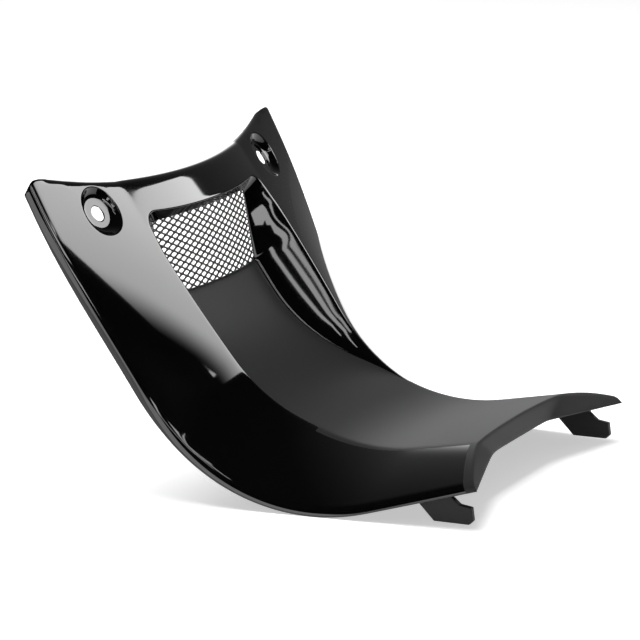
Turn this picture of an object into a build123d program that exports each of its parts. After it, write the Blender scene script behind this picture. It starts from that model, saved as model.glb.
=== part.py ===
from build123d import *
from math import atan2, cos, hypot, pi, radians, sin, sqrt, tan
import os

# Intake tunnel cover: one moulded shell with an expanded metal grille at the end of its scoop.
# Millimetres. X runs across the cover, -Y towards the tail, +Z up.
# The origin is on the centre line, level with the feet of the two hook tabs and at their tips.

# Wall and edges of the moulding
wall = 3.0                # thickness of the moulded wall
rim_radius = 5.0          # outside radius of the turned-back side edges

# Upper break line of the side walls, seen from the side: straight tail, arc, straight flange
crease_tail_y = 10.9
crease_tail_z = 28.1
crease_tail_slope = 10.4
crease_tail_length = 31.0
crease_radius = 87.0
flange_slope = 54.0
crease_flange_length = 101.0

# Lower and outer edge of the side walls, seen from the side
edge_tail_y = -5.3
edge_tail_z = 16.6
edge_tail_slope = 16.1
edge_tail_length = 52.8
edge_radius = 91.9
edge_flange_slope = 62.7
edge_flange_length = 106.5

# Half widths, at the break line and at the outer edge
tail_half_width = 51.5
window_half_width = 62.0
widening_start = 82.0     # along the break line, measured from the tail
widening_length = 108.0
tail_edge_half_width = 92.2
belly_edge_half_width = 104.6
top_edge_half_width = 124.9
belly_edge_end = 150.0    # along the outer edge, measured from the tail
edge_widening_length = 120.0

# Bow of the flange and of the side walls
flange_bow = 4.6          # how far the middle of the flange stands forward of its sides
flange_bow_start = 110.0
flange_bow_length = 90.0
tail_bow = 1.7
side_wall_turn = 9.0      # degrees that a side wall turns either way from its chord
flange_side_turn = 2.8    # the same, at the top of the flange
turn_change_start = 130.0
turn_change_length = 90.0

# Top edge, cut square to the flange: an arc between two short straights with round corners
top_edge_middle = 221.8   # along the break line, measured from the tail
top_edge_rise = 17.0      # how much further the ends of the arc reach
top_corner_rise = 18.0    # the same, at the corners
top_flat_length = 12.2    # across, from the end of the arc to the round of the corner
top_corner_radius = 6.0
top_side_clearance = 0.5  # the outline stays this far outside the side edges

# Scoop sunk into the flange, with the grille across its end
scoop_start = 79.0        # along the break line, measured from the tail
scoop_entry_slope = 19.2
scoop_depth = 18.6        # square to the flange
scoop_floor_radius = 93.0
scoop_floor_bow = 2.3     # how far its middle stands forward by the grille
scoop_side_draft = 0.81   # how far a side wall comes in for each mm of depth
floor_half_width = 75.0   # past the side walls, to either side
wall_ahead = 14.0         # how far the side walls' sections run on in front of the break line
wall_past = 9.0           # the same, past their foot
wall_run_out = 3.0        # the same, past both ends of the scoop
foot_run_out = (0.7, 0.1)    # y and z of the foot for each mm past the top of the grille
window_top = 207.0        # along the break line
window_corner_radius = 8.0
window_corner_set_in = 1.6   # how far the corner's round starts inside the break line
ceiling_middle_slope = 45.0
ceiling_side_slope = 66.0
ceiling_side_x = 54.0     # where the slope at the side is reached
ceiling_depth = 3.5       # how far the slope is carried below the top of the grille
ceiling_height = 13.0     # how far it is carried above it

# Grille, curved across and leaning back
grille_radius = 340.0
grille_lean = 10.4
grille_thickness = 1.2
grille_top_y = 174.5
grille_top_z = 114.7
grille_top_half_width = 47.7
grille_bottom_z = 81.0
grille_bottom_half_width = 46.0
throat_length = 6.0
grille_overlap = 2.4
grille_overlap_bottom = 4.5
grille_strand = 1.5
grille_columns = 8
grille_rows = 7

# Fixing recesses near the top corners
fixing_x = 85.9
fixing_y = 180.7
fixing_z = 125.65
fixing_turn = 10.5        # degrees that a recess faces outwards
fixing_lift = 33.0        # degrees that it faces upwards
recess_rim_radius = 11.7
recess_floor_radius = 7.3
recess_depth = 2.8
fixing_hole_radius = 3.7
fixing_hole_length = 3.0
fixing_pad_radius = 10.5

# Turned-down lip across the tail
lip_top_half_width = 50.7
lip_height = 8.8
lip_bottom_half_width = 34.4
lip_set_back = 0.8
lip_bottom_slope = 4.9
lip_thickness = 3.0

# Hook tabs under the side walls
hook_x = 86.5
hook_thickness = 3.0
hook_outline = [(26.0, 9.5), (16.7, 0), (0, 0), (-1.9, 1.9), (-1.1, 7.8), (4.5, 8.6), (8.6, 12.0)]
hook_root_height = 24.0


# A side profile made of a falling straight, an arc and a rising straight.
class SideProfile:
    def __init__(self, y, z, tail_slope, tail_length, radius, end_slope, end_length):
        self.down = radians(tail_slope)
        self.up = radians(end_slope)
        self.tail = tail_length
        self.radius = radius
        self.arc = radius * (self.down + self.up)
        self.total = tail_length + self.arc + end_length
        self.centre_y = y + tail_length * cos(self.down) + radius * sin(self.down)
        self.centre_z = z - tail_length * sin(self.down) + radius * cos(self.down)

    # y, z and the slope of the tangent at a distance along the profile
    def at(self, s):
        slope = min(max((s - self.tail) / self.radius - self.down, -self.down), self.up)
        before = min(s - self.tail, 0)
        after = max(s - self.tail - self.arc, 0)
        y = self.centre_y + self.radius * sin(slope) + before * cos(self.down) + after * cos(self.up)
        z = self.centre_z - self.radius * cos(slope) - before * sin(self.down) + after * sin(self.up)
        return y, z, slope


crease = SideProfile(crease_tail_y, crease_tail_z, crease_tail_slope, crease_tail_length,
                     crease_radius, flange_slope, crease_flange_length)
edge = SideProfile(edge_tail_y, edge_tail_z, edge_tail_slope, edge_tail_length,
                   edge_radius, edge_flange_slope, edge_flange_length)


def share(value, start, length):
    return min(max((value - start) / length, 0), 1)


def crease_half_width(s):
    t = share(s, widening_start, widening_length)
    return tail_half_width + (window_half_width - tail_half_width) * (1 - (1 - t) ** 2)


def edge_half_width(s):
    grow = (belly_edge_half_width - tail_edge_half_width) / belly_edge_end
    if s < belly_edge_end:
        return tail_edge_half_width + grow * s
    t = share(s, belly_edge_end, edge_widening_length)
    rise = top_edge_half_width - belly_edge_half_width
    ease_in = grow * edge_widening_length * (t ** 3 - 2 * t ** 2 + t)
    return belly_edge_half_width + rise * (3 * t ** 2 - 2 * t ** 3) + ease_in


# how far the middle stands out between the break lines, square to their profile
def bow_at(s):
    t = share(s, flange_bow_start, flange_bow_length)
    tail = 1 - share(s, 0, scoop_start)
    return max(flange_bow * t * t * (3 - 2 * t), tail_bow * tail * tail, 0.2)


# One cross-section of the skin, square to the break line at a distance s from the tail:
# x across, q away from the front. offset moves the whole line inwards from the outer face.
class Section:
    def __init__(self, s):
        y, z, slope = crease.at(s)
        self.plane = Plane(origin=(0, y, z), x_dir=(1, 0, 0), z_dir=(0, cos(slope), sin(slope)))
        self.crease_x = crease_half_width(s)
        self.bow = bow_at(s)
        low, high = -60.0, edge.total + 60.0
        while high - low > 1e-6:
            e = (low + high) / 2
            ye, ze, _ = edge.at(e)
            ahead = (ye - y) * cos(slope) + (ze - z) * sin(slope) > 0
            low, high = (low, e) if ahead else (e, high)
        self.edge_x = edge_half_width(e)
        self.edge_q = hypot(ye - y, ze - z)
        eased = share(s, turn_change_start, turn_change_length)
        turn = radians(side_wall_turn + (flange_side_turn - side_wall_turn) * eased)
        angle = atan2(self.edge_q, self.edge_x - self.crease_x)
        for _ in range(12):
            bend_x = self.edge_x - rim_radius + rim_radius * sin(angle + turn)
            bend_q = self.edge_q - rim_radius * cos(angle + turn)
            angle = atan2(bend_q, bend_x - self.crease_x)
        self.start_angle = angle - turn
        self.end_angle = angle + turn
        self.chord = hypot(bend_x - self.crease_x, bend_q)
        self.angle = angle
        self.turn = turn

    # the points of the right half, from the middle of the cover to its outer edge
    def half(self, offset):
        corner = offset / cos(self.start_angle / 2)
        cx = self.crease_x - corner * sin(self.start_angle / 2)
        cq = corner * cos(self.start_angle / 2)
        rim = rim_radius - offset
        rim_x = self.edge_x - rim_radius
        bend = (rim_x + rim * sin(self.end_angle), self.edge_q - rim * cos(self.end_angle))
        sag = self.chord * tan(self.turn / 2) / 2
        mid_x = (cx + bend[0]) / 2 + sag * sin(self.angle)
        mid_q = (cq + bend[1]) / 2 - sag * cos(self.angle)
        half_turn = (self.end_angle + pi / 2) / 2
        rim_mid = (rim_x + rim * sin(half_turn), self.edge_q - rim * cos(half_turn))
        tip = (self.edge_x - offset, self.edge_q)
        return (0, offset - self.bow), (cx, cq), (mid_x, mid_q), bend, rim_mid, tip

    # the line of the skin from the left edge to the right edge, as edges
    def skin(self, offset):
        middle, corner, mid, bend, rim_mid, tip = [Vector(x, q) for x, q in self.half(offset)]
        left = [Vector(-p.X, p.Y) for p in (corner, mid, bend, rim_mid, tip)]
        across = ThreePointArc(left[0], middle, corner)
        return [ThreePointArc(left[4], left[3], left[2]), ThreePointArc(left[2], left[1], left[0]),
                across, ThreePointArc(corner, mid, bend), ThreePointArc(bend, rim_mid, tip)]

    def wall_face(self):
        outer = self.skin(0)
        inner = self.skin(wall)
        ends = [Line(outer[0] @ 0, inner[0] @ 0), Line(outer[-1] @ 1, inner[-1] @ 1)]
        return self.plane * make_face(Wire(outer + inner + ends))

    # everything behind the skin, down to a depth that is past every other feature
    def behind_face(self, offset):
        outer = self.skin(offset)
        left, right = outer[0] @ 0, outer[-1] @ 1
        low_left = Vector(left.X, left.Y + far_depth)
        low_right = Vector(right.X, right.Y + far_depth)
        rest = [Line(left, low_left), Line(low_left, low_right), Line(low_right, right)]
        return self.plane * make_face(Wire(outer + rest))


skin_start = -18.0        # the skin runs past both ends and is trimmed there
skin_end = 248.0
stations = [skin_start, -7, 5, 18, 31, 47, 63, 80, 96, 112, 129, 145, 162, 180, 198, 215, 232, skin_end]
far_depth = 45.0          # past the deepest feature, from the skin
far = 400.0               # past the whole cover


def skin_shell():
    return loft([Section(v).wall_face() for v in stations])


def behind_skin(offset):
    return loft([Section(v).behind_face(offset) for v in stations])


# the region in front of a plane through a point; the normal points away from the kept side
def half_space(point, normal):
    return Plane(origin=point, z_dir=normal) * Box(2 * far, 2 * far, far, align=(Align.CENTER, Align.CENTER, Align.MIN))


# What is cut from the tail: in front of the middle face and of the two slanting side faces.
def tail_cutter(set_in):
    slant_point = Vector(lip_top_half_width, crease_tail_y, crease_tail_z)
    tip_y, tip_z, _ = edge.at(0)
    tip = Vector(edge_half_width(0), tip_y, tip_z)
    low = Vector(lip_bottom_half_width, crease_tail_y - lip_set_back, crease_tail_z - lip_height)
    outward = (tip - slant_point).cross(low - slant_point).normalized()
    if outward.Y > 0:
        outward = -outward
    middle_outward = Vector(0, -lip_height, lip_set_back).normalized()
    middle_point = Vector(0, crease_tail_y, crease_tail_z) - middle_outward * set_in
    cutter = half_space(middle_point, middle_outward)
    for side in (1, -1):
        normal = Vector(side * outward.X, outward.Y, outward.Z)
        point = Vector(side * slant_point.X, slant_point.Y, slant_point.Z) - normal * set_in
        cutter = cutter & half_space(point, normal)
    return cutter


def tail_lip():
    lip = tail_cutter(lip_thickness) - tail_cutter(0)
    lip_bottom = Vector(0, crease_tail_y - lip_set_back, crease_tail_z - lip_height)
    slope = radians(lip_bottom_slope)
    lip = lip - half_space(lip_bottom, Vector(0, sin(slope), -cos(slope)))
    return behind_skin(wall / 2) & lip


# the flat of the flange: x across, y along the break line from its upper end, z out of the front
def flange_plane():
    y, z, slope = crease.at(crease.total)
    return Plane(origin=(0, y, z), x_dir=(1, 0, 0), z_dir=(0, -sin(slope), cos(slope)))


# The outline of the top edge on the flange, as a block to keep.
def top_outline():
    middle = top_edge_middle - crease.total
    arc_end, corner_top = middle + top_edge_rise, middle + top_corner_rise
    x = top_edge_half_width + top_side_clearance
    r = top_corner_radius
    arc_x = x - r - top_flat_length
    inset = r * (1 - sqrt(0.5))
    right = [Line((arc_x, arc_end), (x - r, corner_top)),
             ThreePointArc((x - r, corner_top), (x - inset, corner_top - inset), (x, corner_top - r)),
             Line((x, corner_top - r), (x, -far))]
    top = ThreePointArc((-arc_x, arc_end), (0, middle), (arc_x, arc_end))
    left = [line.mirror(Plane.YZ) for line in right]
    outline = Wire([top] + right + left + [Line((-x, -far), (x, -far))])
    return extrude(flange_plane() * make_face(outline), far, both=True)


# The scoop floor seen from the side: a straight entry, an arc, and a straight under the flange.
# Gives y, z and slope at stations along it; set_out moves it away from the front.
def floor_path(set_out):
    y0, z0, _ = crease.at(scoop_start)
    entry = radians(scoop_entry_slope)
    rise = radians(flange_slope)
    top_y, top_z, _ = crease.at(crease.total)
    end = Vector(top_y + scoop_depth * sin(rise), top_z - scoop_depth * cos(rise))
    start = Vector(y0, z0)
    along_in = Vector(cos(entry), sin(entry))
    along_out = Vector(cos(rise), sin(rise))
    cross = along_in.X * along_out.Y - along_in.Y * along_out.X
    gap = end - start
    meet = start + along_in * ((gap.X * along_out.Y - gap.Y * along_out.X) / cross)
    reach = scoop_floor_radius * tan((rise - entry) / 2)
    bend_in = meet - along_in * reach
    bend_out = meet + along_out * reach
    centre = bend_in + Vector(-sin(entry), cos(entry)) * scoop_floor_radius
    step = scoop_floor_radius * (rise - entry) / 4
    path = [(start - along_in * step, entry), (start, entry), ((start + bend_in) / 2, entry), (bend_in, entry)]
    for part in (0.25, 0.5, 0.75):
        slope = entry + (rise - entry) * part
        path.append((centre + Vector(sin(slope), -cos(slope)) * scoop_floor_radius, slope))
    path += [(bend_out + along_out * step * i, rise) for i in range(5)]
    return [(p.X + set_out * sin(slope), p.Y - set_out * cos(slope), slope) for p, slope in path]


# the room in front of the scoop floor, the floor bowed forward in step with the grille
def floor_block(set_out):
    path = floor_path(set_out)
    faces = []
    side_x, ahead = floor_half_width, far_depth
    for i, (y, z, slope) in enumerate(path):
        bow = scoop_floor_bow * share(i, 1, 7) + 0.2
        side_q = bow * (side_x / grille_bottom_half_width) ** 2 - bow
        plane = Plane(origin=(0, y, z), x_dir=(1, 0, 0), z_dir=(0, cos(slope), sin(slope)))
        arc = ThreePointArc((-side_x, side_q), (0, -bow), (side_x, side_q))
        rest = Polyline((side_x, side_q), (side_x, -ahead), (-side_x, -ahead), (-side_x, side_q))
        faces.append(plane * make_face(Wire([arc] + rest.edges())))
    return loft(faces)


# The grille's side edge seen from the side: its top, and the corner where the scoop floor reaches it.
# Also gives where that corner lies along the break line.
def grille_side_edge():
    lean, rise = radians(grille_lean), radians(flange_slope)
    top = Vector(grille_top_y, grille_top_z)
    up = Vector(sin(lean), cos(lean))
    y_end, z_end, _ = crease.at(crease.total)
    floor_end = Vector(y_end + scoop_depth * sin(rise), z_end - scoop_depth * cos(rise))
    gap = top - floor_end
    height = (gap.Y * cos(rise) - gap.X * sin(rise)) / (up.Y * cos(rise) - up.X * sin(rise))
    low = top - up * height
    s_low = crease.total - ((y_end - low.X) * cos(rise) + (z_end - low.Y) * sin(rise))
    return top, low, s_low


# where the side wall of the scoop meets the floor or the grille, for a distance along the break line
def wall_foot(s):
    y, z, slope = crease.at(s)
    top, low, s_low = grille_side_edge()
    t = share(s, s_low, window_top - s_low)
    if t > 0:
        foot = low + (top - low) * t + Vector(*foot_run_out) * max(s - window_top, 0)
        return grille_bottom_half_width + (grille_top_half_width - grille_bottom_half_width) * t, foot.X, foot.Y
    depth = scoop_depth
    return crease_half_width(s) - scoop_side_draft * depth, y + depth * sin(slope), z - depth * cos(slope)


# One cross-section of the scoop's side walls, on the line from the break line to the walls' foot.
def wall_section(s, set_out):
    y, z, _ = crease.at(s)
    head_x = crease_half_width(s)
    foot_x, foot_y, foot_z = wall_foot(s)
    reach = hypot(foot_y - y, foot_z - z)
    plane = Plane(origin=(0, y, z), x_dir=(1, 0, 0), z_dir=(0, -(foot_z - z) / reach, (foot_y - y) / reach))
    slant = (head_x - foot_x) / reach
    widen = set_out * sqrt(1 + slant ** 2)
    front_x = head_x + widen + slant * wall_ahead
    back_x = foot_x + widen - slant * wall_past
    back = reach + wall_past
    corners = [(-front_x, -wall_ahead), (front_x, -wall_ahead), (back_x, back), (-back_x, back)]
    return plane * make_face(Polyline(corners, close=True))


# the room between the side walls: along the scoop floor first, then up the sides of the grille
def side_wall_block(set_out):
    first, last = scoop_start - wall_run_out, window_top + wall_run_out
    _, _, s_low = grille_side_edge()
    lower = [wall_section(first + (s_low - first) * i / 8, set_out) for i in range(9)]
    upper = [wall_section(s_low + (last - s_low) * i / 4, set_out) for i in range(5)]
    return loft(lower) + loft(upper)


# a face at a height: an arc in front, through the middle and the sides, and straight behind
def arc_front_face(z, middle_y, side_y):
    reach = side_y - middle_y
    radius = (ceiling_side_x ** 2 + reach ** 2) / (2 * reach)
    wide = min(ceiling_side_x * 1.45, radius * 0.9)
    wide_y = middle_y + radius - sqrt(radius ** 2 - wide ** 2)
    back = wide_y + far_depth
    arc = ThreePointArc((-wide, wide_y), (0, middle_y), (wide, wide_y))
    rest = [Line((wide, wide_y), (wide, back)), Line((wide, back), (-wide, back)),
            Line((-wide, back), (-wide, wide_y))]
    return Plane.XY.offset(z) * make_face(Wire([arc] + rest))


# the middle of the grille's top edge, which stands forward of its corners
def grille_top_middle():
    return grille_top_y - grille_top_half_width ** 2 / (2 * grille_radius)


# the material over the scoop, down to a line a little below the top of the grille
def ceiling_block(set_out):
    middle_y = grille_top_middle()
    side_y = middle_y + ceiling_side_x ** 2 / (2 * grille_radius)
    faces = []
    for rise in (-ceiling_depth, ceiling_height):
        faces.append(arc_front_face(grille_top_z + rise, middle_y - rise / tan(radians(ceiling_middle_slope)),
                                    side_y - rise / tan(radians(ceiling_side_slope))))
    overlap = 0.5
    above = Box(far, far, far, align=(Align.CENTER, Align.CENTER, Align.MIN))
    block = loft(faces, ruled=True) + Pos(0, grille_top_y, grille_top_z + ceiling_height - overlap) * above
    return Pos(0, set_out * 0.75, set_out * 0.75) * block


# What rounds an upper corner of the window, square to the flange.
def window_corner(side):
    r = window_corner_radius
    top = window_top - crease.total
    x = crease_half_width(window_top) - window_corner_set_in
    inset = r * (1 - sqrt(0.5))
    out = Vector(x + 2 * r, top - 1.5 * r)
    lines = [Line((x, top - r), out), Line(out, (x + 2 * r, top + r)), Line((x + 2 * r, top + r), (x - r, top + r)),
             Line((x - r, top + r), (x - r, top)),
             ThreePointArc((x - r, top), (x - inset, top - inset), (x, top - r))]
    face = flange_plane() * make_face(Wire(lines))
    block = extrude(face, far_depth, both=True)
    return block if side > 0 else block.mirror(Plane.YZ)


# the curved face that the grille lies on; a positive inset gives the back of the sheet
def grille_cylinder(inset):
    lean = radians(grille_lean)
    centre = Vector(0, grille_top_middle() + grille_radius * cos(lean), grille_top_z - grille_radius * sin(lean))
    plane = Plane(origin=centre, x_dir=(1, 0, 0), z_dir=(0, sin(lean), cos(lean)))
    return plane * Cylinder(grille_radius - inset, far)


# the plane of the grille: x across, y up its lean, from the middle of the opening
def grille_plane():
    lean = radians(grille_lean)
    half = (grille_top_z - grille_bottom_z) / 2
    origin = (0, grille_top_middle() - half * tan(lean), grille_top_z - half)
    return Plane(origin=origin, x_dir=(1, 0, 0), z_dir=(0, -cos(lean), sin(lean)))


# The sheet that closes the scoop, reaching over the end of the scoop's walls all round.
def grille_sheet():
    half = (grille_top_z - grille_bottom_z) / cos(radians(grille_lean)) / 2
    low, high = -half - grille_overlap_bottom, half + grille_overlap
    low_x = grille_bottom_half_width + grille_overlap
    high_x = grille_top_half_width + grille_overlap
    corners = [(-low_x, low), (low_x, low), (high_x, high), (-high_x, high)]
    outline = extrude(grille_plane() * make_face(Polyline(corners, close=True)), 12, both=True)
    sheet = outline & (grille_cylinder(0) - grille_cylinder(grille_thickness))
    return sheet - grille_gaps()


def grille_gaps():
    height = (grille_top_z - grille_bottom_z) / cos(radians(grille_lean))
    pitch_x = 2 * grille_bottom_half_width / grille_columns
    pitch_z = height / grille_rows
    half_x = pitch_x / 2 - grille_strand / 2 * hypot(pitch_x, pitch_z) / pitch_z
    half_z = half_x * pitch_z / pitch_x
    gaps = []
    for row in range(2 * grille_rows - 1):
        count = grille_columns - row % 2
        for column in range(count):
            x = (column - (count - 1) / 2) * pitch_x
            z = (row - grille_rows + 1) * pitch_z / 2
            diamond = Polyline((x - half_x, z), (x, z - half_z), (x + half_x, z), (x, z + half_z), close=True)
            gaps.append(extrude(grille_plane() * make_face(diamond), 12, both=True))
    return gaps


# the last few millimetres of the scoop, straight through to the grille
def throat():
    half = (grille_top_z - grille_bottom_z) / cos(radians(grille_lean)) / 2
    low_x, high_x = grille_bottom_half_width, grille_top_half_width
    corners = [(-low_x, -half), (low_x, -half), (high_x, half), (-high_x, half)]
    return extrude(grille_plane() * make_face(Polyline(corners, close=True)), throat_length, both=True)


def fixing_plane(side):
    turn, lift = radians(fixing_turn), radians(fixing_lift)
    outward = (side * sin(turn) * cos(lift), -cos(turn) * cos(lift), sin(lift))
    return Plane(origin=(side * fixing_x, fixing_y, fixing_z), x_dir=(0, 0, 1), z_dir=outward)


def fixing_recess(side):
    run = recess_rim_radius - recess_floor_radius
    radius = (run ** 2 + recess_depth ** 2) / (2 * recess_depth)
    half = atan2(run, radius - recess_depth) / 2
    mid = (recess_floor_radius + radius * sin(half), radius - recess_depth - radius * cos(half))
    profile = [Line((0, -recess_depth), (recess_floor_radius, -recess_depth)),
               ThreePointArc((recess_floor_radius, -recess_depth), mid, (recess_rim_radius, 0)),
               Line((recess_rim_radius, 0), (recess_rim_radius, 6)), Line((recess_rim_radius, 6), (0, 6)),
               Line((0, 6), (0, -recess_depth))]
    dish = revolve(Plane.XZ * make_face(Wire(profile)), Axis.Z)
    hole = Cylinder(fixing_hole_radius, 40)
    return fixing_plane(side) * (dish + hole)


def fixing_pad(side):
    back = -recess_depth - fixing_hole_length
    pad = Cylinder(fixing_pad_radius, -back - 1, align=(Align.CENTER, Align.CENTER, Align.MIN))
    return fixing_plane(side) * Pos(0, 0, back) * pad


def hook(side):
    first, last = hook_outline[0], hook_outline[-1]
    points = hook_outline + [(last[0], hook_root_height), (first[0], hook_root_height)]
    plate = extrude(Plane.YZ * make_face(Polyline(*points, close=True)), hook_thickness / 2, both=True)
    return Pos(side * hook_x, 0, 0) * plate


def cover_shell():
    shell = (skin_shell() - tail_cutter(0)) & top_outline()
    shell = shell + tail_lip()
    scoop = (side_wall_block(wall) & floor_block(wall)) - ceiling_block(wall)
    behind = behind_skin(wall / 2)
    shell = shell + ((scoop & behind) - grille_cylinder(0))
    cavity = (side_wall_block(0) & floor_block(0)) - ceiling_block(0)
    for side in (1, -1):
        cavity = cavity - window_corner(side)
    shell = shell - cavity - throat()
    for side in (1, -1):
        shell = shell + fixing_pad(side) + (hook(side) & behind)
        shell = shell - fixing_recess(side)
    return shell


os.makedirs("parts", exist_ok=True)
export_step(cover_shell(), "parts/cover_shell.step")
export_step(grille_sheet(), "parts/mesh_grille.step")
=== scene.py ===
import bpy
import numpy as np
from mathutils import Matrix
from math import cos, radians, sin, tan


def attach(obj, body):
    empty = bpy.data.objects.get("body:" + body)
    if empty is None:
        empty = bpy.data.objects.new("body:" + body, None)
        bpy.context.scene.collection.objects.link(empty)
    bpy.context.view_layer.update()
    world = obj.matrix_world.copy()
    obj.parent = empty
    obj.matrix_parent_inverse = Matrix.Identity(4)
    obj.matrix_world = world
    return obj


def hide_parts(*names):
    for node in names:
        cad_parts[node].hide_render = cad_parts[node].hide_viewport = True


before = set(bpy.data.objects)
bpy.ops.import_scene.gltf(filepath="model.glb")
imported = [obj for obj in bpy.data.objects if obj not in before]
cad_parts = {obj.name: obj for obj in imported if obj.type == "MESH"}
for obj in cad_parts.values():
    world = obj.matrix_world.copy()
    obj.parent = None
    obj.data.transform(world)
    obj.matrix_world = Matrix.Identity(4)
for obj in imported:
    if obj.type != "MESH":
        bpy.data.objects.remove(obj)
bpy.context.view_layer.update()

# The shell: one injection moulding in black ABS, 3 mm thick. Its skin sweeps from a level tail up
# into a leaning flange, with a side wall on each side of a break line and edges rolled back.
# The gloss is the polished face of the mould; the tail top, the lip and the scoop floor are matt.
MM = 0.001
WALL = 3.0
RIM_RADIUS = 5.0
BREAK_LINE = dict(y=10.9, z=28.1, down=10.4, tail=31.0, radius=87.0, up=54.0, end=101.0)
EDGE_LINE = dict(y=-5.3, z=16.6, down=16.1, tail=52.8, radius=91.9, up=62.7, end=106.5)
TAIL_BREAK_X, FLANGE_BREAK_X = 51.5, 62.0
TAIL_EDGE_X, BELLY_EDGE_X, TOP_EDGE_X = 92.2, 104.6, 124.9
TAIL_BOW, FLANGE_BOW = 1.7, 4.6
WALL_TURN, FLANGE_WALL_TURN = 9.0, 2.8
SCOOP_START = 79.0
CORNER_START = 199.0
WINDOW_SET_IN = 1.6
GLOSS, MATT, INSIDE = 0, 1, 2


def ease(t):
    """0 below 0, 1 above 1, and three t squared less two t cubed between."""
    t = np.clip(t, 0, 1)
    return t * t * (3 - 2 * t)


def side_profile(line, s):
    """y, z and slope at distances s along a falling straight, an arc and a rising straight."""
    down, up, radius = radians(line["down"]), radians(line["up"]), line["radius"]
    slope = np.clip((s - line["tail"]) / radius - down, -down, up)
    before = np.minimum(s - line["tail"], 0)
    after = np.maximum(s - line["tail"] - radius * (down + up), 0)
    y = line["y"] + line["tail"] * cos(down) + radius * (sin(down) + np.sin(slope))
    z = line["z"] - line["tail"] * sin(down) + radius * (cos(down) - np.cos(slope))
    return y + before * cos(down) + after * cos(up), z - before * sin(down) + after * sin(up), slope


def break_half_width(s):
    """Level along the tail, then widening on a falling-off parabola from 82 to 190 mm."""
    t = np.clip((s - 82) / 108, 0, 1)
    return TAIL_BREAK_X + (FLANGE_BREAK_X - TAIL_BREAK_X) * (1 - (1 - t) ** 2)


def edge_half_width(e):
    """A straight taper to the belly at 150 mm, then a cubic that meets it smoothly and runs level
    at the top, 120 mm on."""
    taper = (BELLY_EDGE_X - TAIL_EDGE_X) / 150
    t = np.clip((e - 150) / 120, 0, 1)
    flare = BELLY_EDGE_X + (TOP_EDGE_X - BELLY_EDGE_X) * ease(t) + taper * 120 * (t ** 3 - 2 * t ** 2 + t)
    return np.where(e < 150, TAIL_EDGE_X + taper * e, flare)


# every section of the skin, tabled along the break line: where its plane meets the edge line,
# and the chord of the side wall that ends tangent to the rolled edge
table_s = np.linspace(-20, 252, 1089)
table_y, table_z, table_slope = side_profile(BREAK_LINE, table_s)
edge_s = np.linspace(-60, 345, 1621)
edge_y, edge_z, _ = side_profile(EDGE_LINE, edge_s)
ahead = ((edge_y[None] - table_y[:, None]) * np.cos(table_slope)[:, None]
         + (edge_z[None] - table_z[:, None]) * np.sin(table_slope)[:, None])
first = np.argmax(ahead > 0, 1)
table_row = np.arange(len(table_s))
behind, beyond = ahead[table_row, first - 1], ahead[table_row, first]
table_e = edge_s[first - 1] - behind / (beyond - behind) * (edge_s[1] - edge_s[0])
found_y, found_z, _ = side_profile(EDGE_LINE, table_e)
table_edge_x = edge_half_width(table_e)
table_edge_q = np.hypot(found_y - table_y, found_z - table_z)
table_turn = np.radians(WALL_TURN - (WALL_TURN - FLANGE_WALL_TURN) * np.clip((table_s - 130) / 90, 0, 1))
table_c = break_half_width(table_s)
table_angle = np.arctan2(table_edge_q, table_edge_x - table_c)
for _ in range(12):
    bend_x = table_edge_x - RIM_RADIUS + RIM_RADIUS * np.sin(table_angle + table_turn)
    bend_q = table_edge_q - RIM_RADIUS * np.cos(table_angle + table_turn)
    table_angle = np.arctan2(bend_q, bend_x - table_c)
table_chord = np.hypot(bend_x - table_c, bend_q)
table_arc = table_chord / (2 * np.sin(table_turn))
to_chord = table_arc * np.cos(table_turn)
table_centre_x = (table_c + bend_x) / 2 - to_chord * np.sin(table_angle)
table_centre_q = bend_q / 2 + to_chord * np.cos(table_angle)
table_bow = np.maximum(np.maximum(FLANGE_BOW * ease((table_s - 110) / 90),
                                  TAIL_BOW * (1 - np.clip(table_s / SCOOP_START, 0, 1)) ** 2), 0.2)


def at(table, s):
    """The tabled value at s, on a straight line between the two nearest sections."""
    return np.interp(s, table_s, table)


def place(s, x, q):
    """A point of the section at s: x across, q square to the break line and away from the front."""
    y, z, slope = side_profile(BREAK_LINE, s)
    return np.stack([x + 0 * s, y + q * np.sin(slope), z - q * np.cos(slope)], -1)


def skin_depth(s, x):
    """q of the skin at x: a parabola between the break lines, a circle outside them, and a
    parabola that rounds the corner, 1.4 mm either way along the scoop and 9.4 mm above it."""
    c, bow = at(table_c, s), at(table_bow, s)
    middle = -bow * (1 - (x / c) ** 2)
    radius = at(table_arc, s)
    side = at(table_centre_q, s) - np.sqrt(np.maximum(radius ** 2 - (x - at(table_centre_x, s)) ** 2, 0))
    kink = np.maximum(np.tan(at(table_angle - table_turn, s)) - 2 * bow / c, 0)
    reach = 1.4 + 8.0 * ease((s - 198) / 12)
    soft = kink * np.maximum(reach - np.abs(x - c), 0) ** 2 / (4 * reach)
    return np.where(x < c, middle, side) + soft


def wing_point(s, w):
    """w from 0 at the inner line to 1 at the rolled edge, and on to 2 around its arc to the tip."""
    inner = at(table_c, s) - WINDOW_SET_IN * ease((s - 186) / (CORNER_START - 186))
    end_angle = at(table_angle + table_turn, s)
    edge_start = at(table_edge_x, s) - RIM_RADIUS + RIM_RADIUS * np.sin(end_angle)
    x = inner + (edge_start - inner) * np.minimum(w, 1)
    turn = end_angle + (np.pi / 2 - end_angle) * np.clip(w - 1, 0, 1)
    rim_x = at(table_edge_x, s) - RIM_RADIUS + RIM_RADIUS * np.sin(turn)
    rim_q = at(table_edge_q, s) - RIM_RADIUS * np.cos(turn)
    return place(s, np.where(w > 1, rim_x, x), np.where(w > 1, rim_q, skin_depth(s, x)))


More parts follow.
